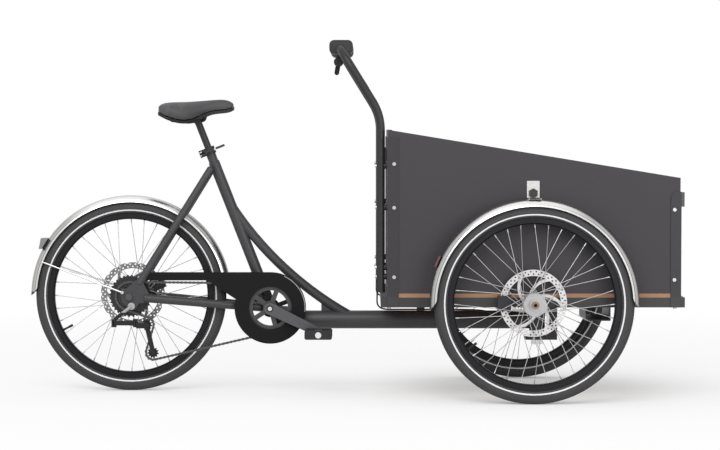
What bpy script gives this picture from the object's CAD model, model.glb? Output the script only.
import math
import bpy
from bpy.props import FloatProperty, FloatVectorProperty, PointerProperty
from mathutils import Matrix, Vector


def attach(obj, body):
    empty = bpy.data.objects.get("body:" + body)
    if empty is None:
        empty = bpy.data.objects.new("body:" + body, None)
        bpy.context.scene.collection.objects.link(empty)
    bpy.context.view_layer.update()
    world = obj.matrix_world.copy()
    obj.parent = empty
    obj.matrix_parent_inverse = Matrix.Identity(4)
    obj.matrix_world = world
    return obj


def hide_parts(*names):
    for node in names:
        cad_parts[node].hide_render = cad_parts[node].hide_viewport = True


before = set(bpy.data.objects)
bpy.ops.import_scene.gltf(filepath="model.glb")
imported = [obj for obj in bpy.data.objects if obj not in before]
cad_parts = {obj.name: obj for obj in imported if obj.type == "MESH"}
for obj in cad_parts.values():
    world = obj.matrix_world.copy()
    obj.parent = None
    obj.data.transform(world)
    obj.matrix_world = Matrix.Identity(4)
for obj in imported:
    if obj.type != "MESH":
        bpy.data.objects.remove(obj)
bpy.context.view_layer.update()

bl_info = {
    "name": "Cargo tricycle",
    "version": (1, 0, 0),
    "blender": (4, 5, 0),
    "location": "View3D > Sidebar > Tricycle",
    "description": "Finishes, soft saddle, chain, cables and studio for a front-loading cargo tricycle",
    "category": "Object",
}

# Places and sizes on the solids, in metres; turns are angles in radians
axle_height = 0.3005
wheels = {"rear": (-0.695, 0.0), "right_front": (0.551, -0.38), "left_front": (0.551, 0.38)}
bracket = (-0.254, 0.264)
pedal_axles = {"right": (-0.10121, 0.18948), "left": (-0.40679, 0.33852)}
rotor_carrier_radius = 0.031
guard_crowns = {"rear": 0.316, "front": 0.315}
guard_depth = 0.02
sheet_thickness = 0.0012
sheet_depth = 0.0215
crest_turn = 1.65
bracket_bolt = (0.551, 0.632)
bracket_bolt_half = 0.0165
bracket_bolt_side = 0.319
clip_radius = 0.3164
clip_turn = (0.5, 1.6)
blade_edge_radius = 0.29
blade_tip = -0.9
blade_tip_turn = 3.1
post_foot = 0.318
axle_cap_side = 0.4223
axle_socket_radius = 0.0055
skirt_edge = 0.8575
grip_middle = (-0.03, 1.0765)
grip_patch = (0.026, 0.013)
outer_bolt_side = 0.36
pedal_side = 0.15
pedal_axle_radius = 0.0095
pivot_low = 0.252
pedal_axle_side = 0.128
lever_fork = -0.47
lever_dot = -0.428
lever_dot_half = 0.002
guard_line = (0.1078, 0.1104)
guard_line_turn = (-0.1, 1.15)
crank_bolt_radius = 0.0064
front_reflector_start = 0.9
tread_radius = 0.2925
tread_line = (0.006, 0.0009)
rear_facet_foot = (-0.566, 0.88)
rear_facet_low = 0.866
wedge_tip = (-0.5275, 0.882)
wedge_top = 0.9065

# Studio, cushion and smoothing
floor_fade = (1.0, 4.0)
floor_size = 80.0
sensor_width = 36.0
swell_pressure = 4.0
swell_frames = 20
crease_angles = {"solid": math.radians(32), "chain": math.radians(35), "valve": math.radians(40)}
lamps = {"key_lamp": (4.5, Vector((-1.6, -5.2, 4.6)), Vector((0.0, 0.0, 0.45))),
         "fill_lamp": (3.0, Vector((3.2, -4.5, 0.9)), Vector((0.6, 0.0, 0.4)))}


def paint(name, words, color):
    """A colour that the sidebar shows, in linear light."""
    return FloatVectorProperty(name=name, description=words, subtype="COLOR", size=3, min=0.0, max=1.0,
                               default=color)


def length(name, words, value):
    """A length that the sidebar shows, in metres."""
    return FloatProperty(name=name, description=words, default=value, unit="LENGTH")


class TricycleFinishes(bpy.types.PropertyGroup):
    """Colours of the tricycle's surfaces."""
    frame_paint: paint("Frame paint", "Satin paint of frame and carrier", (0.052, 0.052, 0.055))
    board: paint("Box boards", "Faced boards of the cargo box", (0.03, 0.027, 0.031))
    floor_edge: paint("Floor board", "Bare plywood of the floor board", (0.36, 0.19, 0.105))
    tyre: paint("Tyres", "Tyre rubber", (0.042, 0.042, 0.044))
    stripe: paint("Tyre stripe", "Reflecting stripe on the tyre walls", (0.74, 0.74, 0.74))
    rim: paint("Rims", "Black anodised rims", (0.025, 0.025, 0.027))
    stainless: paint("Mudguards", "Polished stainless sheet", (0.87, 0.86, 0.85))
    steel: paint("Bright steel", "Spokes, rotors and bolts", (0.7, 0.69, 0.69))
    dark_steel: paint("Dark steel", "Chain, sprockets and small steel", (0.1, 0.1, 0.103))
    plastic: paint("Black plastic", "Chain guard, pedals and small mouldings", (0.011, 0.011, 0.0115))
    saddle: paint("Saddle cover", "Grained cover of the saddle", (0.056, 0.056, 0.059))
    grip: paint("Grips", "Soft rubber of the grips", (0.014, 0.014, 0.0155))
    red: paint("Red lens", "Reflectors behind and lamp lens", (0.5, 0.03, 0.03))
    brass: paint("Axle caps", "Yellowed caps on the front axles", (0.24, 0.18, 0.13))


class TricycleSizes(bpy.types.PropertyGroup):
    """Sizes of the modelled pieces."""
    stripe_radius: length("Stripe radius", "Middle of the stripe on the tyre wall", 0.2695)
    stripe_half: length("Stripe half width", "Half the width of the stripe", 0.0022)
    cushion_rise: length("Cushion swell", "How far the cover may swell from its base form", 0.006)
    cushion_cell: length("Cushion cell", "Mesh size of the cushion", 0.005)
    cushion_start: length("Cushion start", "How much smaller the cover starts", 0.002)
    link_pitch: length("Chain pitch", "Distance from pin to pin", 0.0127)
    link_height: length("Link height", "Height of a chain plate", 0.0082)
    cable_radius: length("Cable radius", "Radius of the brake cables", 0.0025)
    valve_length: length("Valve length", "Valve stem from rim to cap", 0.034)
    grain_size: length("Leather grain", "Size of the grain on the saddle", 0.0011)


class TricycleStage(bpy.types.PropertyGroup):
    """Camera and light."""
    distance: length("Camera distance", "Camera to the tricycle's middle plane", 7.31)
    height: length("Camera height", "Camera above the floor", 0.8313)
    aside: length("Camera place", "Camera along the tricycle", 0.0463)
    lens: FloatProperty(name="Lens", description="Focal length in millimetres", default=115.9)
    dip: FloatProperty(name="Dip", description="Downward tilt of the camera", subtype="ANGLE",
                       default=math.radians(2.42))
    ambient: FloatProperty(name="Ambient", description="Light from all round", default=0.42)
    shift: FloatProperty(name="Shift", description="Sideways shift of the picture", default=-6.0 / 720.0)
    floor: paint("Floor", "Pale studio floor", (0.95, 0.95, 0.95))
    floor_white: FloatProperty(name="Floor white", description="Share of plain white in the floor",
                               default=0.86)
    contact: length("Contact shadow", "How far the dark under box and wheels reaches", 0.55)
    key: FloatProperty(name="Key light", description="Power of the large front lamp", default=290.0)
    fill: FloatProperty(name="Fill light", description="Power of the low lamp at the front right",
                        default=110.0)


class Shade:
    """A node's output in a material; arithmetic with it adds Math nodes."""

    def __init__(self, tree, socket=None):
        self.tree = tree
        self.socket = socket

    def node(self, kind, settings=None, sockets=None, out=0):
        """Adds a node: its settings first, then the values or links of its sockets."""
        made = self.tree.nodes.new(kind)
        for name, value in (settings or {}).items():
            if name == "stops":
                first, *middle, last = value
                elements = made.color_ramp.elements
                elements[0].position, elements[0].color = first
                elements[1].position, elements[1].color = last
                for place, color in middle:
                    elements.new(place).color = color
            else:
                setattr(made, name, value)
        for name, value in (sockets or {}).items():
            if isinstance(value, Shade):
                self.tree.links.new(value.socket, made.inputs[name])
            else:
                made.inputs[name].default_value = value
        return Shade(self.tree, made.outputs[out] if made.outputs else None)

    def part(self, out):
        """Another output of the same node."""
        return Shade(self.tree, self.socket.node.outputs[out])

    def math(self, operation, *values):
        """One Math node."""
        return self.node("ShaderNodeMath", {"operation": operation}, dict(enumerate(values)))

    def mix(self, factor, first, second, blend="MIX"):
        """A colour between two colours, or their blend."""
        return self.node("ShaderNodeMix", {"data_type": "RGBA", "blend_type": blend},
                         {0: factor, 6: first, 7: second}, 2)

    def ramp(self, value, *stops):
        """Greys along a value: each stop has its place and its grey."""
        colors = [(place, grey(tone)) for place, tone in stops]
        return self.node("ShaderNodeValToRGB", {"stops": colors}, {0: value})

    def __add__(self, other):
        return self.math("ADD", self, other)

    def __radd__(self, other):
        return self.math("ADD", other, self)

    def __sub__(self, other):
        return self.math("SUBTRACT", self, other)

    def __rsub__(self, other):
        return self.math("SUBTRACT", other, self)

    def __mul__(self, other):
        return self.math("MULTIPLY", self, other)

    def __rmul__(self, other):
        return self.math("MULTIPLY", other, self)

    def __truediv__(self, other):
        return self.math("DIVIDE", self, other)

    def __pow__(self, other):
        return self.math("POWER", self, other)

    def __gt__(self, other):
        return self.math("GREATER_THAN", self, other)

    def __lt__(self, other):
        return self.math("LESS_THAN", self, other)

    def __abs__(self):
        return self.math("ABSOLUTE", self)


def opaque(color):
    """A colour with full alpha."""
    return (*color, 1.0)


def toned(color, share):
    """A darker or lighter copy of a colour."""
    return tuple(min(1.0, channel * share) for channel in color)


def varied(shade, factor, color, low, high):
    """A colour that goes from a darker to a lighter copy of itself."""
    return shade.mix(factor, opaque(toned(color, low)), opaque(toned(color, high)))


def started(name):
    """A new material with an empty tree, and the tool that fills it."""
    material = bpy.data.materials.new(name)
    material.use_nodes = True
    material.node_tree.nodes.clear()
    return material, Shade(material.node_tree)


def closed(shade, color, roughness, metallic=0.0, height=None, depth=0.0002, **more):
    """Ends a material with its surface shader; more are fixed values of other sockets."""
    sockets = {"Base Color": color, "Roughness": roughness, "Metallic": metallic}
    sockets.update({name.replace("_", " "): value for name, value in more.items()})
    if height is not None:
        bump = {"Height": height, "Distance": depth}
        sockets["Normal"] = shade.node("ShaderNodeBump", None, bump, "Normal")
    surface = shade.node("ShaderNodeBsdfPrincipled", None, sockets, "BSDF")
    shade.node("ShaderNodeOutputMaterial", None, {"Surface": surface})


def place_of(shade):
    """The point in the tricycle's own frame, and its three coordinates."""
    point = shade.node("ShaderNodeTexCoord", None, None, "Object")
    axes = shade.node("ShaderNodeSeparateXYZ", None, {0: point})
    return point, axes, axes.part(1), axes.part(2)


def noise(shade, point, scale, detail=2.0):
    """Soft cloudy values from 0 to 1."""
    return shade.node("ShaderNodeTexNoise", None, {"Vector": point, "Scale": scale, "Detail": detail})


def round_axle(shade, x, z, center):
    """Distance from an axle across the tricycle, and the angle round it."""
    ahead = x - center[0]
    above = z - center[1]
    radius = (ahead * ahead + above * above) ** 0.5
    return radius, shade.math("ARCTAN2", above, ahead)


def stretched(shade, x, y, z):
    """A vector from three values."""
    return shade.node("ShaderNodeCombineXYZ", None, {0: x, 1: y, 2: z})


def painted(name, color, roughness=0.38, speck=0.1):
    """Satin paint with a fine metal speck and a slight orange peel."""
    material, shade = started(name)
    point = place_of(shade)[0]
    grain = noise(shade, point, scale=2600.0, detail=1.0)
    cloud = noise(shade, point, scale=6.0, detail=3.0)
    tint = varied(shade, grain * speck + cloud * 0.25, color, 0.86, 1.3)
    closed(shade, tint, roughness=roughness + cloud * 0.08, metallic=0.12,
           height=noise(shade, point, scale=700.0, detail=1.0), depth=0.00006, Specular_IOR_Level=0.3)
    return material


def moulded(name, color, roughness=0.46):
    """Spark-eroded plastic with a fine even grain."""
    material, shade = started(name)
    point = place_of(shade)[0]
    grain = noise(shade, point, scale=1500.0, detail=2.0)
    cloud = noise(shade, point, scale=14.0, detail=2.0)
    tint = varied(shade, cloud, color, 0.85, 1.2)
    closed(shade, tint, roughness=roughness + cloud * 0.1, height=grain, depth=0.00012,
           Specular_IOR_Level=0.22)
    return material


def metal(name, color, roughness):
    """Plain worked metal with fine scratches along its length."""
    material, shade = started(name)
    point, x, y, z = place_of(shade)
    lines = noise(shade, stretched(shade, x * 0.06, y, z), scale=900.0, detail=2.0)
    cloud = noise(shade, point, scale=18.0, detail=3.0)
    tint = varied(shade, cloud, color, 0.88, 1.08)
    closed(shade, tint, roughness=roughness + lines * 0.12, metallic=1.0, height=lines, depth=0.00003)
    return material


def turned_metal(name, color, center, roughness, carrier=None):
    """Metal brushed in circles round an axle; a rotor's duller carrier ends in a thin dark line."""
    material, shade = started(name)
    _, x, y, z = place_of(shade)
    radius, angle = round_axle(shade, x, z, center)
    rings = noise(shade, stretched(shade, radius * 900.0, y * 900.0, angle * 2.5), scale=1.0, detail=2.0)
    tint = varied(shade, rings, color, 0.82, 1.12)
    if carrier:
        tone = shade.ramp(radius / carrier, (0.0, 0.6), (0.86, 0.72), (0.93, 0.22), (0.98, 0.22), (1.0, 1.0))
        tint = shade.mix(1.0, tint, tone, "MULTIPLY")
    closed(shade, tint, roughness=roughness + rings * 0.14, metallic=1.0, height=rings, depth=0.00003)
    return material


def tyre_rubber(name, colors, sizes, center):
    """Tyre rubber: tread blocks on the crown, fine ribs and a pale stripe on the walls."""
    material, shade = started(name)
    point, x, y, z = place_of(shade)
    radius, angle = round_axle(shade, x, z, (center[0], axle_height))
    across = abs(y - center[1])
    stripe = shade.math("COMPARE", radius, sizes.stripe_radius, sizes.stripe_half)
    crown = radius > tread_radius
    turns = shade.math("FRACT", angle * 15.0 + across * 130.0)
    slots = (turns < 0.16) * crown
    middle = shade.math("COMPARE", across, *tread_line) * crown
    ribs = shade.math("SINE", radius * 2600.0) * (1.0 - crown) * 0.18
    grain = noise(shade, point, scale=900.0, detail=2.0)
    cloud = noise(shade, point, scale=9.0, detail=3.0)
    height = ribs + grain * 0.25 - shade.math("MAXIMUM", slots, middle) + stripe * 0.5
    rubber = varied(shade, cloud, colors.tyre, 0.8, 1.25)
    rubber = shade.mix(shade.math("MAXIMUM", slots, middle), rubber, opaque(toned(colors.tyre, 0.35)))
    tint = shade.mix(stripe, rubber, opaque(colors.stripe))
    closed(shade, tint, roughness=0.68 - stripe * 0.22 + grain * 0.08, height=height,
           depth=0.0007, Specular_IOR_Level=0.35)
    return material


def faced_board(name, color):
    """Dark film-faced board with a faint pressed texture."""
    material, shade = started(name)
    point, x, y, z = place_of(shade)
    cloud = noise(shade, point, scale=3.0, detail=4.0)
    fibre = noise(shade, stretched(shade, x * 0.08, y, z), scale=420.0, detail=3.0)
    tint = varied(shade, cloud * 0.6 + fibre * 0.4, color, 0.86, 1.16)
    closed(shade, tint, roughness=0.5 + fibre * 0.12, height=fibre, depth=0.00008,
           Specular_IOR_Level=0.4)
    return material


def plywood(name, color):
    """Bare plywood whose edge shows its layers."""
    material, shade = started(name)
    _, x, y, z = place_of(shade)
    layer = shade.math("FRACT", z * 420.0) < 0.42
    grain = noise(shade, stretched(shade, x * 4.0, y * 4.0, z * 900.0), scale=1.0, detail=4.0)
    light = varied(shade, grain, color, 0.8, 1.2)
    tint = shade.mix(layer, light, opaque(toned(color, 0.66)))
    closed(shade, tint, roughness=0.6 + grain * 0.15, height=grain, depth=0.0002)
    return material


def grey(value):
    """An opaque grey."""
    return (value, value, value, 1.0)


def facing(shade):
    """The three parts of the surface's own direction."""
    normal = shade.node("ShaderNodeTexCoord", None, None, "Normal")
    axes = shade.node("ShaderNodeSeparateXYZ", None, {0: normal})
    return axes, axes.part(1), axes.part(2)


def sheet_steel(name, color, center, crown, dark):
    """Polished sheet with brush marks, toned across its crowned section; dark picks the black parts."""
    material, shade = started(name)
    point, x, y, z = place_of(shade)
    radius, angle = round_axle(shade, x, z, (center[0], axle_height))
    marks = noise(shade, stretched(shade, radius * 500.0, y * 700.0, angle * 4.0), scale=1.0, detail=3.0)
    cloud = noise(shade, point, scale=7.0, detail=3.0)
    across = (crown - radius) / guard_depth
    side = shade.ramp(across, (0.0, 0.36), (0.3, 0.44), (0.6, 0.6), (0.68, 0.5), (0.72, 0.16), (0.76, 0.2),
                      (0.81, 0.86), (1.0, 0.7))
    crest = shade.ramp(across, (0.0, 0.55), (0.15, 0.8), (0.35, 1.0), (0.7, 0.95), (0.76, 0.5), (0.82, 1.0))
    top = shade.node("ShaderNodeMapRange", {"interpolation_type": "SMOOTHSTEP"},
                     {0: shade.math("COSINE", angle - crest_turn), 1: 0.76, 2: 0.99})
    plain = shade.math("MAXIMUM", radius > crown + sheet_thickness, radius < crown - sheet_depth)
    tone = shade.mix(plain, shade.mix(top, side, crest), grey(0.72))
    tint = varied(shade, cloud, color, 0.94, 1.06)
    tint = shade.mix(1.0, tint, tone, "MULTIPLY")
    mask = dark(shade, (x, y, z), radius, angle)
    tint = shade.mix(mask, tint, (0.02, 0.02, 0.021, 1.0))
    closed(shade, tint, roughness=0.2 + marks * 0.12 + mask * 0.25, metallic=1.0 - mask, height=marks,
           depth=0.00004)
    return material


def front_dark_parts(shade, place, radius, angle):
    """The dark bolt heads on the front mudguards' brackets."""
    x, y, z = place
    near = (abs(x - bracket_bolt[0]) < bracket_bolt_half) * (abs(z - bracket_bolt[1]) < bracket_bolt_half)
    return near * (abs(y) > bracket_bolt_side)


def rear_dark_parts(shade, place, radius, angle):
    """The black end piece and the black clip of the rear mudguard."""
    blade = radius > blade_edge_radius
    tip = blade * (angle < 0.0) * (place[0] < blade_tip)
    low_tip = blade * (angle > blade_tip_turn)
    clip = (radius > clip_radius) * (angle > clip_turn[0]) * (angle < clip_turn[1])
    return shade.math("MAXIMUM", shade.math("MAXIMUM", tip, low_tip), clip)


def carrier_paint(name, colors):
    """Frame paint, the board's tone on the posts, and yellowed caps at the ends of the front axles."""
    material, shade = started(name)
    point, x, y, z = place_of(shade)
    color = toned(colors.frame_paint, 0.62)
    grain = noise(shade, point, scale=2600.0, detail=1.0)
    cloud = noise(shade, point, scale=6.0, detail=3.0)
    tint = varied(shade, grain * 0.1 + cloud * 0.25, color, 0.8, 1.2)
    tint = shade.mix(z > post_foot, tint, opaque(toned(colors.board, 0.72)))
    cap = abs(y) > axle_cap_side
    radius = round_axle(shade, x, z, (wheels["right_front"][0], axle_height))[0]
    tint = shade.mix(cap, tint, opaque(colors.brass))
    tint = shade.mix(cap * (radius < axle_socket_radius), tint, opaque(colors.rim))
    closed(shade, tint, roughness=0.42 + cloud * 0.08, metallic=0.2 + cap * 0.8,
           height=noise(shade, point, scale=700.0, detail=1.0), depth=0.00006)
    return material


def saddle_leather(name, colors, sizes):
    """Grained cover with two paler moulded facets on each side."""
    material, shade = started(name)
    point, x, _, z = place_of(shade)
    cells = shade.node("ShaderNodeTexVoronoi", {"feature": "DISTANCE_TO_EDGE"},
                       {"Vector": point, "Scale": 1.0 / (sizes.grain_size * 2.0)})
    pores = noise(shade, point, scale=2200.0, detail=2.0)
    slope = rear_facet_foot[0] + (z - rear_facet_foot[1]) * 0.25
    rear_facet = (x < slope) * (z > rear_facet_low)
    wedge = (abs(x - wedge_tip[0]) < (z - wedge_tip[1]) * 0.68) * (z < wedge_top)
    pale = shade.math("MAXIMUM", rear_facet, wedge) * 0.55
    cloud = noise(shade, point, scale=22.0, detail=3.0)
    base = varied(shade, cloud, colors.saddle, 0.95, 1.06)
    tint = shade.mix(pale, base, opaque(toned(colors.saddle, 1.6)))
    height = shade.math("MINIMUM", cells * 5.0, 0.5) + pores * 0.2
    closed(shade, tint, roughness=0.56 + pores * 0.1, height=height, depth=0.00008,
           Specular_IOR_Level=0.42)
    return material


def saddle_skirt(name, colors):
    """The base's upper edge in a darker tone of the cover, black below."""
    material, shade = started(name)
    point, _, _, z = place_of(shade)
    edge = z > skirt_edge
    grain = noise(shade, point, scale=1400.0, detail=2.0)
    tint = shade.mix(edge, opaque(colors.plastic), opaque(toned(colors.saddle, 0.45)))
    closed(shade, tint, roughness=0.55 + grain * 0.1, height=grain, depth=0.00012,
           Specular_IOR_Level=0.2)
    return material


def grip_rubber(name, colors):
    """Soft rubber with paler ribbed faces."""
    material, shade = started(name)
    point, x, y, z = place_of(shade)
    ribs = shade.math("SINE", y * 1400.0)
    patch = (abs(x - grip_middle[0]) < grip_patch[0]) * (abs(z - grip_middle[1]) < grip_patch[1])
    grain = noise(shade, point, scale=1300.0, detail=2.0)
    tint = shade.mix(patch, opaque(colors.grip), opaque(toned(colors.grip, 1.6)))
    height = ribs * 0.5 * patch + grain * 0.1
    closed(shade, tint, roughness=0.5 + grain * 0.1, height=height, depth=0.0003,
           Specular_IOR_Level=0.4)
    return material


def lens_plastic(name, color, clear_from):
    """Ribbed reflector plastic: red, and clear ahead of a given place along the tricycle."""
    material, shade = started(name)
    point, x, _, _ = place_of(shade)
    cells = shade.node("ShaderNodeTexVoronoi", {"distance": "CHEBYCHEV"}, {"Vector": point, "Scale": 260.0})
    ahead = facing(shade)[0]
    clear = x > clear_from
    lens = shade.math("MAXIMUM", (ahead < -0.5) * (1.0 - clear), (ahead > 0.5) * clear)
    tint = shade.mix(clear, opaque(color), (0.75, 0.75, 0.77, 1.0))
    tint = shade.mix(lens, shade.mix(clear, (0.07, 0.03, 0.032, 1.0), (0.03, 0.03, 0.031, 1.0)), tint)
    closed(shade, tint, roughness=0.18 + cells * 0.1, height=cells, depth=0.0006,
           Coat_Weight=0.5, Coat_Roughness=0.05)
    return material


def lamp_plastic(name, color):
    """Grey lamp body with a red lens at its back."""
    material, shade = started(name)
    point = place_of(shade)[0]
    ahead = facing(shade)[0]
    lens = ahead < -0.75
    grain = noise(shade, point, scale=900.0, detail=2.0)
    tint = shade.mix(lens, (0.2, 0.2, 0.205, 1.0), opaque(color))
    closed(shade, tint, roughness=0.4 - lens * 0.22, height=grain, depth=0.0001)
    return material


def bolt_steel(name, colors):
    """Plain bolts, with dark ones on the mudguard brackets."""
    material, shade = started(name)
    point, _, y, _ = place_of(shade)
    outer = abs(y) > outer_bolt_side
    cloud = noise(shade, point, scale=60.0, detail=3.0)
    tint = shade.mix(outer, opaque(toned(colors.steel, 0.7)), opaque(toned(colors.dark_steel, 0.7)))
    closed(shade, tint, roughness=0.26 + cloud * 0.14, metallic=1.0, height=cloud, depth=0.00003)
    return material


def pedal_plastic(name, colors, axle):
    """Grained pedal plastic with the bright end of the axle in its outer face."""
    material, shade = started(name)
    point, x, y, z = place_of(shade)
    aside = facing(shade)[1]
    radius = round_axle(shade, x, z, axle)[0]
    end = (radius < pedal_axle_radius) * (abs(aside) > 0.9) * (abs(y) > pedal_side)
    grain = noise(shade, point, scale=900.0, detail=2.0)
    tint = shade.mix(end, opaque(toned(colors.plastic, 1.6)), opaque(colors.steel))
    closed(shade, tint, roughness=0.5 - end * 0.2 + grain * 0.1, metallic=end, height=grain, depth=0.0002,
           Specular_IOR_Level=0.3)
    return material


def pivot_metal(name, colors):
    """Black derailleur body with a bright upper pivot."""
    material, shade = started(name)
    point, _, _, z = place_of(shade)
    pivot = z > pivot_low
    cloud = noise(shade, point, scale=120.0, detail=2.0)
    tint = shade.mix(pivot, opaque(toned(colors.rim, 1.5)), opaque(toned(colors.steel, 0.6)))
    closed(shade, tint, roughness=0.3 + cloud * 0.12, metallic=1.0, height=cloud, depth=0.00004)
    return material


def crank_paint(name, colors):
    """Dark grey crank arms with bright pedal axles."""
    material, shade = started(name)
    point, _, y, _ = place_of(shade)
    axle = abs(y) > pedal_axle_side
    cloud = noise(shade, point, scale=40.0, detail=3.0)
    tint = shade.mix(axle, opaque(toned(colors.frame_paint, 1.5)), opaque(colors.steel))
    closed(shade, tint, roughness=0.34 + cloud * 0.1, metallic=0.3 + axle * 0.7, height=cloud,
           depth=0.00004)
    return material


def lever_metal(name, colors):
    """Black lever with a bright fork at its pivot and a pale dot near its tip."""
    material, shade = started(name)
    point, x, _, _ = place_of(shade)
    pale = shade.math("MAXIMUM", x < lever_fork, abs(x - lever_dot) < lever_dot_half)
    cloud = noise(shade, point, scale=90.0, detail=2.0)
    tint = shade.mix(pale, opaque(colors.rim), opaque(colors.steel))
    closed(shade, tint, roughness=0.34 + cloud * 0.1, metallic=pale * 0.7, height=cloud, depth=0.00004,
           Specular_IOR_Level=0.35)
    return material


def guard_plastic(name, color):
    """Smooth black guard with a thin pale line round its front edge."""
    material, shade = started(name)
    point, x, _, z = place_of(shade)
    radius, angle = round_axle(shade, x, z, bracket)
    edge = (radius > guard_line[0]) * (radius < guard_line[1])
    edge = edge * (angle > guard_line_turn[0]) * (angle < guard_line_turn[1])
    cloud = noise(shade, point, scale=14.0, detail=2.0)
    tint = shade.mix(edge * 0.4, opaque(color), grey(0.75))
    closed(shade, tint, roughness=0.44 + cloud * 0.08,
           height=noise(shade, point, scale=1500.0, detail=1.0), depth=0.00006, Specular_IOR_Level=0.07)
    return material


def spindle_metal(name, colors):
    """Dark spindle with bright bolts in its ends."""
    material, shade = started(name)
    point, x, _, z = place_of(shade)
    radius = round_axle(shade, x, z, bracket)[0]
    scuff = noise(shade, point, scale=260.0, detail=2.0)
    tint = shade.mix(radius < crank_bolt_radius, opaque(toned(colors.rim, 1.5)), opaque(colors.steel))
    closed(shade, tint, roughness=0.26 + scuff * 0.1, metallic=0.9, height=scuff, depth=0.00004)
    return material


def chain_steel(name, color):
    """Oiled steel of the chain, patchy with grime."""
    material, shade = started(name)
    point = place_of(shade)[0]
    grime = noise(shade, point, scale=160.0, detail=3.0)
    tint = varied(shade, grime, color, 0.5, 1.35)
    closed(shade, tint, roughness=0.3 + grime * 0.25, metallic=1.0, height=grime, depth=0.0001)
    return material


def clear_selection():
    """Leaves nothing selected and no mode open."""
    if bpy.context.object and bpy.context.object.mode != "OBJECT":
        bpy.ops.object.mode_set(mode="OBJECT")
    bpy.ops.object.select_all(action="DESELECT")


def active(piece):
    """Selects one piece alone."""
    clear_selection()
    piece.select_set(True)
    bpy.context.view_layer.objects.active = piece


def settled(piece, name, material):
    """Names a finished piece, moves its place into its mesh and gives it a finish."""
    active(piece)
    bpy.ops.object.transform_apply(location=True, rotation=True, scale=True)
    piece.name = name
    piece.data.name = name
    piece.data.materials.clear()
    piece.data.materials.append(material)
    return piece


def copied(piece, matrix):
    """A copy with its own mesh, moved by a matrix."""
    mesh = piece.data.copy()
    mesh.transform(matrix)
    twin = bpy.data.objects.new(piece.name, mesh)
    bpy.context.collection.objects.link(twin)
    return twin


def joined(pieces):
    """One piece from several."""
    clear_selection()
    for piece in pieces:
        piece.select_set(True)
    bpy.context.view_layer.objects.active = pieces[0]
    bpy.ops.object.join()
    return pieces[0]


def finishes_of(context):
    """The colours in the sidebar."""
    return context.scene.tricycle_finishes


def sizes_of(context):
    """The sizes in the sidebar."""
    return context.scene.tricycle_sizes


class TRICYCLE_OT_finishes(bpy.types.Operator):
    """Gives every solid of the tricycle its finish"""
    bl_idname = "tricycle.finishes"
    bl_label = "Finishes"

    def execute(self, context):
        colors = finishes_of(context)
        sizes = sizes_of(context)
        frame_paint = painted("frame paint", colors.frame_paint)
        plastic = moulded("black plastic", colors.plastic)
        gloss = guard_plastic("guard plastic", colors.plastic)
        black = painted("black anodised", toned(colors.rim, 1.2), roughness=0.34, speck=0.05)
        bright = metal("bright steel", colors.steel, roughness=0.24)
        dark = metal("dark steel", colors.dark_steel, roughness=0.36)
        shift_black = metal("black shift metal", toned(colors.rim, 1.5), roughness=0.3)
        spoke = metal("spoke steel", toned(colors.steel, 0.62), roughness=0.3)
        board = faced_board("box board", colors.board)
        lens = lens_plastic("reflector lens", colors.red, front_reflector_start)
        rear_axle = (wheels["rear"][0], axle_height)
        table = {
            "frame": frame_paint, "front_hanger": frame_paint, "frame_bearings": dark,
            "handlebar": painted("bar paint", toned(colors.frame_paint, 0.5)),
            "carrier_frame": carrier_paint("carrier paint", colors),
            "seat_clamp": black, "seat_post": black, "seat_clamp_lever": lever_metal("lever metal", colors),
            "chain_guard": gloss, "chain": dark, "rear_axle": dark, "rear_caliper": black,
            "rear_lamp": lamp_plastic("lamp plastic", colors.red),
            "derailleur_body": pivot_metal("derailleur body metal", colors),
            "derailleur_outer_link": shift_black, "derailleur_inner_link": shift_black,
            "derailleur_knuckle": shift_black, "derailleur_cage": shift_black,
            "guide_pulley": plastic, "tension_pulley": plastic,
            "saddle_base": saddle_skirt("saddle skirt", colors), "saddle_cover": plastic,
            "crank_spindle": spindle_metal("spindle metal", colors),
            "crank_arms": crank_paint("crank paint", colors),
            "right_pedal": pedal_plastic("right pedal plastic", colors, pedal_axles["right"]),
            "left_pedal": pedal_plastic("left pedal plastic", colors, pedal_axles["left"]),
            "kingpin": bright, "carrier_bolts": bolt_steel("bolt steel", colors),
            "floor_panel": plywood("floor plywood", colors.floor_edge), "left_side_panel": board,
            "right_side_panel": board, "front_panel": board, "rear_panel": board, "reflectors": lens,
            "front_calipers": black, "grips": grip_rubber("grip rubber", colors), "lever_mounts": black,
            "brake_cables": plastic, "left_brake_lever": black, "right_brake_lever": black,
            "shift_lever": plastic,
            "cassette": turned_metal("sprocket steel", toned(colors.dark_steel, 0.5), rear_axle, 0.3),
            "chainring": turned_metal("chainring steel", toned(colors.dark_steel, 0.8), bracket, 0.32),
            "rear_mudguard": sheet_steel("rear mudguard steel", colors.stainless, wheels["rear"],
                                         guard_crowns["rear"], rear_dark_parts),
            "front_mudguards": sheet_steel("front mudguard steel", colors.stainless, wheels["right_front"],
                                           guard_crowns["front"], front_dark_parts),
        }
        for wheel, center in wheels.items():
            axle = (center[0], axle_height)
            rotor_color = toned(colors.steel, 0.34 if wheel == "rear" else 0.94)
            hub_color = colors.rim if wheel == "rear" else toned(colors.steel, 0.6)
            table[wheel + "_tyre"] = tyre_rubber(wheel + " tyre rubber", colors, sizes, center)
            table[wheel + "_rim"] = turned_metal(wheel + " rim", colors.rim, axle, 0.34)
            table[wheel + "_spokes"] = spoke
            table[wheel + "_hub"] = turned_metal(wheel + " hub", hub_color, axle, 0.3)
            table[wheel + "_rotor"] = turned_metal(wheel + " rotor", rotor_color, axle, 0.26,
                                                   rotor_carrier_radius)
        for name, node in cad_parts.items():
            node.data.materials.clear()
            node.data.materials.append(table[name])
            active(node)
            bpy.ops.object.shade_smooth_by_angle(angle=crease_angles["solid"])
        return {"FINISHED"}


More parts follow.
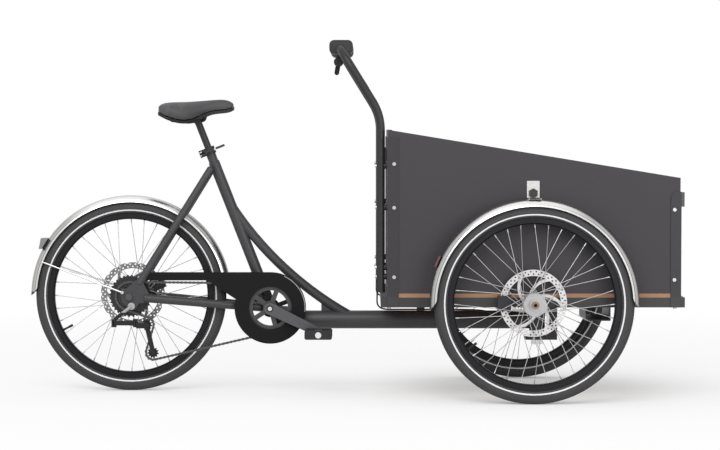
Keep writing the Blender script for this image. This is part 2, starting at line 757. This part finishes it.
class TRICYCLE_OT_saddle(bpy.types.Operator):
    """Swells the saddle cover like a filled cushion"""
    bl_idname = "tricycle.saddle"
    bl_label = "Saddle cushion"

    def execute(self, context):
        sizes = sizes_of(context)
        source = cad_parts["saddle_cover"]
        cover = copied(source, source.matrix_world)
        active(cover)
        bpy.ops.object.mode_set(mode="EDIT")
        bpy.ops.mesh.select_all(action="SELECT")
        bpy.ops.mesh.remove_doubles(threshold=0.0001)
        bpy.ops.mesh.normals_make_consistent(inside=False)
        bpy.ops.object.mode_set(mode="OBJECT")
        cover.data.remesh_voxel_size = sizes.cushion_cell
        bpy.ops.object.voxel_remesh()
        bpy.ops.object.mode_set(mode="EDIT")
        bpy.ops.mesh.select_all(action="SELECT")
        bpy.ops.transform.shrink_fatten(value=-sizes.cushion_start)
        bpy.ops.object.mode_set(mode="OBJECT")
        self.swell(context, cover, sizes)
        active(cover)
        smooth = cover.modifiers.new("rounding", "SUBSURF")
        smooth.levels = 1
        bpy.ops.object.modifier_apply(modifier=smooth.name)
        bpy.ops.object.shade_smooth()
        settled(cover, "saddle_cushion", saddle_leather("saddle cover", finishes_of(context), sizes))
        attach(cover, "seat")
        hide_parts("saddle_cover")
        return {"FINISHED"}

    def swell(self, context, cover, sizes):
        """Blows the cover up a little, held at its underside, and limits how far each point moves."""
        mesh = cover.data
        start = [vertex.co.copy() for vertex in mesh.vertices]
        held = [min(1.0, max(0.0, -vertex.normal.z * 2.0 - 0.2)) for vertex in mesh.vertices]
        group = cover.vertex_groups.new(name="held")
        for index, share in enumerate(held):
            group.add([index], share, "REPLACE")
        cloth = cover.modifiers.new("swell", "CLOTH")
        cloth.settings.use_pressure = True
        cloth.settings.uniform_pressure_force = swell_pressure
        cloth.settings.effector_weights.gravity = 0.0
        cloth.settings.vertex_group_mass = group.name
        cloth.point_cache.frame_start = 1
        cloth.point_cache.frame_end = swell_frames
        for step in range(1, swell_frames + 1):
            context.scene.frame_set(step)
        bpy.ops.object.modifier_apply(modifier=cloth.name)
        context.scene.frame_set(1)
        for vertex, place, share in zip(mesh.vertices, start, held):
            move = vertex.co - place
            limit = sizes.cushion_rise * (1.0 - share)
            if move.length > limit:
                vertex.co = place + move.normalized() * limit
        cover.vertex_groups.clear()


cable_route = ((0.009, -0.073, 1.02), (0.027, -0.08, 0.993), (0.053, -0.14, 0.955), (0.069, -0.215, 0.918),
               (0.079, -0.258, 0.868), (0.086, -0.266, 0.8), (0.08, -0.265, 0.326), (0.08, -0.264, 0.276),
               (0.155, -0.26, 0.276), (0.365, -0.258, 0.276), (0.425, -0.276, 0.271), (0.453, -0.322, 0.254),
               (0.463, -0.333, 0.2756))


class TRICYCLE_OT_cables(bpy.types.Operator):
    """Lays the two brake cables from the levers to the front calipers"""
    bl_idname = "tricycle.cables"
    bl_label = "Brake cables"

    def execute(self, context):
        radius = sizes_of(context).cable_radius
        rubber = moulded("cable sheath", finishes_of(context).plastic, roughness=0.4)
        for name, side in (("right_brake_cable", 1), ("left_brake_cable", -1)):
            line = bpy.data.curves.new(name, "CURVE")
            line.dimensions = "3D"
            run = line.splines.new("NURBS")
            run.points.add(len(cable_route) - 1)
            places = [(x, side * y, z) for x, y, z in cable_route]
            for point, place in zip(run.points, places):
                point.co = (*place, 1.0)
            run.order_u = 3
            run.use_endpoint_u = True
            run.resolution_u = 10
            line.bevel_depth = radius
            line.bevel_resolution = 3
            line.use_fill_caps = True
            line.materials.append(rubber)
            cable = bpy.data.objects.new(name, line)
            context.collection.objects.link(cable)
            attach(cable, "carrier")
            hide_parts("brake_cables")
        return {"FINISHED"}


chainring_radius = 0.0769
sprocket_radius = 0.04462
pulley_radius = 0.02254
chain_wheels = ((*bracket, chainring_radius, 1), (-0.623, 0.123, pulley_radius, 1),
                (-0.643, 0.211, pulley_radius, -1), (wheels["rear"][0], axle_height, sprocket_radius, 1))
chain_side = -0.047
arc_steps = 40
outer_link = {"inside": 0.0026, "pin_radius": 0.0019, "pin_length": 0.0074}
inner_link = {"inside": 0.0016, "pin_radius": 0.0039, "pin_length": 0.0034}
plate_thickness = 0.0009
plate_waist = 0.68


def run_round(wheels_round):
    """Points along a closed run round several wheels; each has x, z, radius and 1 for clockwise or -1."""
    straights = []
    for first, second in zip(wheels_round, wheels_round[1:] + wheels_round[:1]):
        reach = math.hypot(second[0] - first[0], second[1] - first[1])
        heading = math.atan2(second[1] - first[1], second[0] - first[0])
        leave = heading + math.pi / 2 - math.asin((first[2] * first[3] - second[2] * second[3]) / reach)
        straights.append([(x + radius * turn * math.cos(leave), z + radius * turn * math.sin(leave))
                          for x, z, radius, turn in (first, second)])
    points = []
    for index, (x, z, radius, turn) in enumerate(wheels_round):
        enter = straights[index - 1][1]
        leave = straights[index][0]
        start = math.atan2(enter[1] - z, enter[0] - x)
        end = math.atan2(leave[1] - z, leave[0] - x)
        sweep = (start - end) % math.tau if turn > 0 else -((end - start) % math.tau)
        for step in range(arc_steps + 1):
            angle = start - sweep * step / arc_steps
            points.append((x + radius * math.cos(angle), z + radius * math.sin(angle)))
    return points


def spaced(points, pitch):
    """Spots at even distances along a closed line: an even number, as near the pitch as that allows."""
    ends = points[1:] + points[:1]
    steps = [math.dist(first, second) for first, second in zip(points, ends)]
    count = 2 * round(sum(steps) / pitch / 2)
    gap = sum(steps) / count
    spots = []
    passed = 0.0
    for first, second, step in zip(points, ends, steps):
        while len(spots) < count and len(spots) * gap <= passed + step:
            share = (len(spots) * gap - passed) / step if step else 0.0
            spots.append(tuple(start + (end - start) * share for start, end in zip(first, second)))
        passed += step
    return spots


class TRICYCLE_OT_chain(bpy.types.Operator):
    """Strings the chain from outer and inner links round its four wheels"""
    bl_idname = "tricycle.chain"
    bl_label = "Chain"

    def execute(self, context):
        sizes = sizes_of(context)
        spots = spaced(run_round(chain_wheels), sizes.link_pitch)
        outer = self.link(sizes, **outer_link)
        inner = self.link(sizes, **inner_link)
        links = []
        for index, (first, second) in enumerate(zip(spots, spots[1:] + spots[:1])):
            turn = math.atan2(second[1] - first[1], second[0] - first[0])
            middle = Vector(((first[0] + second[0]) / 2, chain_side, (first[1] + second[1]) / 2))
            links.append(copied(inner if index % 2 else outer,
                                Matrix.Translation(middle) @ Matrix.Rotation(-turn, 4, "Y")))
        for pattern in (outer, inner):
            bpy.data.objects.remove(pattern)
        chain = joined(links)
        settled(chain, "chain_links", chain_steel("chain steel", finishes_of(context).dark_steel))
        bpy.ops.object.shade_smooth_by_angle(angle=crease_angles["chain"])
        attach(chain, "frame")
        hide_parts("chain")
        return {"FINISHED"}

    def link(self, sizes, inside, pin_radius, pin_length):
        """Two waisted plates and the two pins or rollers between them, along X."""
        half = sizes.link_pitch / 2
        bpy.ops.mesh.primitive_circle_add(vertices=20, radius=sizes.link_height / 2, fill_type="NGON")
        plate = bpy.context.object
        for vertex in plate.data.vertices:
            x, y, _ = vertex.co
            waist = abs(x) < 0.0001
            shift = 0.0 if waist else math.copysign(half, x)
            vertex.co = (x + shift, inside, y * (plate_waist if waist else 1.0))
        bpy.ops.object.mode_set(mode="EDIT")
        bpy.ops.mesh.select_all(action="SELECT")
        bpy.ops.mesh.extrude_region_move(TRANSFORM_OT_translate={"value": (0.0, plate_thickness, 0.0)})
        bpy.ops.mesh.select_all(action="SELECT")
        bpy.ops.mesh.normals_make_consistent(inside=False)
        bpy.ops.object.mode_set(mode="OBJECT")
        parts = [plate, copied(plate, Matrix.Rotation(math.pi, 4, "X"))]
        for x in (-half, half):
            bpy.ops.mesh.primitive_cylinder_add(vertices=12, radius=pin_radius, depth=pin_length,
                                                location=(x, 0, 0), rotation=(math.pi / 2, 0, 0))
            bpy.ops.object.transform_apply(location=True, rotation=True, scale=True)
            parts.append(bpy.context.object)
        return joined(parts)


valve_angles = {"rear": 207.0, "right_front": 214.0, "left_front": 150.0}
rim_inside = 0.241
valve_foot = (0.0042, -0.001)


class TRICYCLE_OT_valves(bpy.types.Operator):
    """Sets a valve in each rim"""
    bl_idname = "tricycle.valves"
    bl_label = "Valves"

    def execute(self, context):
        sizes = sizes_of(context)
        rubber = moulded("valve rubber", finishes_of(context).plastic, roughness=0.4)
        pattern = self.valve(sizes)
        for wheel, (x, y) in wheels.items():
            angle = math.radians(valve_angles[wheel])
            place = Vector((x + rim_inside * math.cos(angle), y, axle_height + rim_inside * math.sin(angle)))
            inward = Matrix.Rotation(-angle, 4, "Y") @ Matrix.Rotation(-math.pi / 2, 4, "Y")
            stem = copied(pattern, Matrix.Translation(place) @ inward)
            settled(stem, wheel + "_valve", rubber)
            bpy.ops.object.shade_smooth_by_angle(angle=crease_angles["valve"])
            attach(stem, wheel + "_wheel")
        bpy.data.objects.remove(pattern)
        return {"FINISHED"}

    def valve(self, sizes):
        """A stem with a wider cap, from the rim at its foot up along Z."""
        radius, foot = valve_foot
        bpy.ops.mesh.primitive_circle_add(vertices=16, radius=radius, fill_type="NGON", location=(0, 0, foot))
        stem = bpy.context.object
        bpy.ops.object.transform_apply(location=True, rotation=True, scale=True)
        bpy.ops.object.mode_set(mode="EDIT")
        bpy.ops.mesh.select_all(action="SELECT")
        tall = sizes.valve_length
        for rise, width in ((tall * 0.3, 0.76), (tall * 0.3, 1.0), (0.0004, 1.2), (tall * 0.36, 1.0),
                            (0.001, 0.7)):
            bpy.ops.mesh.extrude_region_move(TRANSFORM_OT_translate={"value": (0.0, 0.0, rise)})
            bpy.ops.transform.resize(value=(width, width, 1.0))
        bpy.ops.mesh.select_all(action="SELECT")
        bpy.ops.mesh.normals_make_consistent(inside=False)
        bpy.ops.object.mode_set(mode="OBJECT")
        return stem


def seen_directly(shade):
    """1 where the camera, a reflection or a look through glass meets the surface, else 0."""
    camera = shade.node("ShaderNodeLightPath", None, None, "Is Camera Ray")
    seen = shade.math("MAXIMUM", camera, camera.part("Is Glossy Ray"))
    return shade.math("MAXIMUM", seen, camera.part("Is Transmission Ray"))


class TRICYCLE_OT_stage(bpy.types.Operator):
    """Sets the floor, the light and the camera"""
    bl_idname = "tricycle.stage"
    bl_label = "Studio"

    def execute(self, context):
        stage = context.scene.tricycle_stage
        self.lay_floor(stage)
        self.light(context, stage)
        self.aim(context, stage)
        context.scene.view_settings.view_transform = "Standard"
        return {"FINISHED"}

    def lay_floor(self, stage):
        """A pale floor that keeps the shadow."""
        clear_selection()
        bpy.ops.mesh.primitive_plane_add(size=floor_size)
        floor = bpy.context.object
        material, shade = started("studio floor")
        _, x, y, _ = place_of(shade)
        reach = (x * x + y * y) ** 0.5
        away = shade.node("ShaderNodeMapRange", {"interpolation_type": "SMOOTHSTEP"},
                          {0: reach, 1: floor_fade[0], 2: floor_fade[1], 3: stage.floor_white, 4: 1.0})
        open_share = shade.node("ShaderNodeAmbientOcclusion", None, {"Distance": stage.contact}, "AO")
        plain = away * (open_share * 0.85 + 0.15)
        matt = shade.node("ShaderNodeBsdfDiffuse", None, {"Color": opaque(stage.floor)})
        white = shade.node("ShaderNodeEmission", None, {"Strength": 1.0})
        both = shade.node("ShaderNodeMixShader", None, {0: seen_directly(shade) * plain, 1: matt, 2: white})
        shade.node("ShaderNodeOutputMaterial", None, {"Surface": both})
        settled(floor, "studio_floor", material)

    def light(self, context, stage):
        """Even light from all round, a large soft lamp in front and above, and a low fill."""
        world = bpy.data.worlds.new("studio")
        world.use_nodes = True
        world.node_tree.nodes.clear()
        shade = Shade(world.node_tree)
        dim, white = (shade.node("ShaderNodeBackground", None, {"Color": grey(1.0), "Strength": strength})
                      for strength in (stage.ambient, 1.0))
        both = shade.node("ShaderNodeMixShader", None, {0: seen_directly(shade), 1: dim, 2: white})
        shade.node("ShaderNodeOutputWorld", None, {"Surface": both})
        context.scene.world = world
        for name, power in (("key_lamp", stage.key), ("fill_lamp", stage.fill)):
            width, place, target = lamps[name]
            bpy.ops.object.light_add(type="AREA", location=place)
            lamp = bpy.context.object
            lamp.name = name
            lamp.data.size = width
            lamp.data.energy = power
            lamp.rotation_euler = (target - place).to_track_quat("-Z", "Y").to_euler()

    def aim(self, context, stage):
        """The camera on the right side, a little above the saddle."""
        bpy.ops.object.camera_add(location=(stage.aside, -stage.distance, stage.height),
                                  rotation=(math.pi / 2 - stage.dip, 0.0, 0.0))
        camera = bpy.context.object
        camera.name = "camera"
        camera.data.lens = stage.lens
        camera.data.sensor_width = sensor_width
        camera.data.shift_x = stage.shift
        context.scene.camera = camera


steps = (TRICYCLE_OT_finishes, TRICYCLE_OT_saddle, TRICYCLE_OT_cables, TRICYCLE_OT_chain, TRICYCLE_OT_valves,
         TRICYCLE_OT_stage)
groups = {"tricycle_finishes": TricycleFinishes, "tricycle_sizes": TricycleSizes,
          "tricycle_stage": TricycleStage}


class TRICYCLE_PT_panel(bpy.types.Panel):
    """Steps and values of the tricycle"""
    bl_idname = "TRICYCLE_PT_panel"
    bl_label = "Cargo tricycle"
    bl_space_type = "VIEW_3D"
    bl_region_type = "UI"
    bl_category = "Tricycle"

    def draw(self, context):
        for step in steps:
            self.layout.operator(step.bl_idname)
        for name in groups:
            values = getattr(context.scene, name)
            box = self.layout.box()
            for value in values.bl_rna.properties.keys():
                if value not in ("rna_type", "name"):
                    box.prop(values, value)


def register():
    for kind in (*groups.values(), *steps, TRICYCLE_PT_panel):
        bpy.utils.register_class(kind)
    for name, group in groups.items():
        setattr(bpy.types.Scene, name, PointerProperty(type=group))


def unregister():
    for name in groups:
        delattr(bpy.types.Scene, name)
    for kind in (TRICYCLE_PT_panel, *reversed(steps), *groups.values()):
        bpy.utils.unregister_class(kind)


def main():
    """Builds the looks in order."""
    register()
    for step in (bpy.ops.tricycle.finishes, bpy.ops.tricycle.saddle, bpy.ops.tricycle.cables,
                 bpy.ops.tricycle.chain, bpy.ops.tricycle.valves, bpy.ops.tricycle.stage):
        step()


if __name__ == "__main__":
    main()
